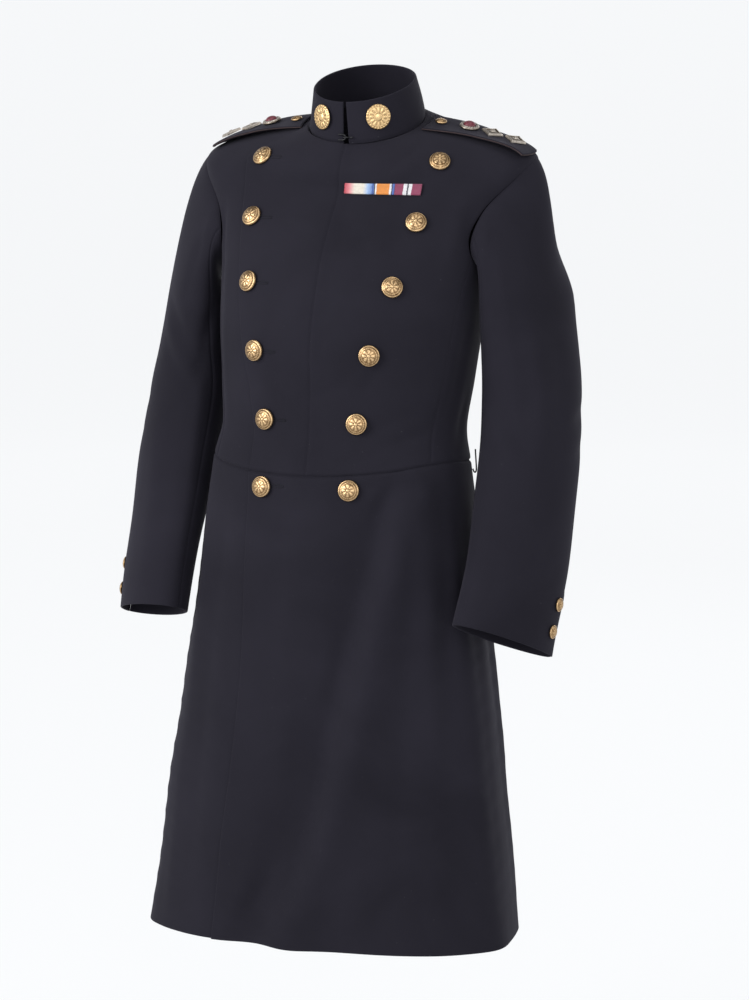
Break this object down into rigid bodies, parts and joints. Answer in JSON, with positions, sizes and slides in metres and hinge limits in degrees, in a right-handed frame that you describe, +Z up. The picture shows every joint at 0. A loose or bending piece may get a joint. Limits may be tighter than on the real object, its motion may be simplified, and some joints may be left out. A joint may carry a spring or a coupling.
{
  "type": "double-breasted military frock coat",
  "caption": "Knee-length navy wool double-breasted military frock coat with stand collar, shoulder straps, gilt domed buttons and ribbon bar, worn open-hollow as on a figure.",
  "frame": {"origin": "centre of the neck opening at the collar seam, where the wearer's neck and shoulders hold it up", "axes": "+Z up, -Y the front of the coat, +X the wearer's left"},
  "size_m": [0.5505, 0.3476, 1.0179],
  "materials": {
    "wool": "matt navy wool",
    "gilt": "worn gilt",
    "tarnished": "tarnished gilt",
    "crimson": "crimson enamel",
    "wire": "blackened",
    "ribbon": "ribbed silk"
  },
  "bodies": {
    "root": {"forepart_left": "wool", "forepart_right": "wool", "lapel_left": "wool", "lapel_right": "wool", "side_body_left": "wool", "side_body_right": "wool", "back_left": "wool", "back_right": "wool", "skirt_left": "wool", "skirt_right": "wool", "back_skirt_left": "wool", "back_skirt_right": "wool", "collar": "wool", "sleeve_left_top": "wool", "sleeve_left_under": "wool", "sleeve_right_top": "wool", "sleeve_right_under": "wool", "shoulder_strap_left": "wool", "shoulder_strap_right": "wool", "button_left_1": "gilt", "button_left_2": "gilt", "button_left_3": "gilt", "button_left_4": "gilt", "button_left_5": "gilt", "button_left_6": "gilt", "button_right_1": "gilt", "button_right_2": "gilt", "button_right_3": "gilt", "button_right_4": "gilt", "button_right_5": "gilt", "button_right_6": "gilt", "cuff_button_left_1": "gilt", "cuff_button_left_2": "gilt", "cuff_button_right_1": "gilt", "cuff_button_right_2": "gilt", "strap_button_left": "gilt", "strap_button_right": "gilt", "collar_badge_left": "gilt", "collar_badge_right": "gilt", "strap_boss_left": "tarnished", "strap_boss_right": "tarnished", "strap_lozenge_left_1": "tarnished", "strap_lozenge_left_2": "tarnished", "strap_lozenge_right_1": "tarnished", "strap_lozenge_right_2": "tarnished", "strap_dome_left": "crimson", "strap_dome_right": "crimson", "collar_hook": "wire", "collar_eye": "wire", "belt_hook": "wire", "ribbon_1": "ribbon", "ribbon_2": "ribbon", "ribbon_3": "ribbon"}
  },
  "joints": []
}
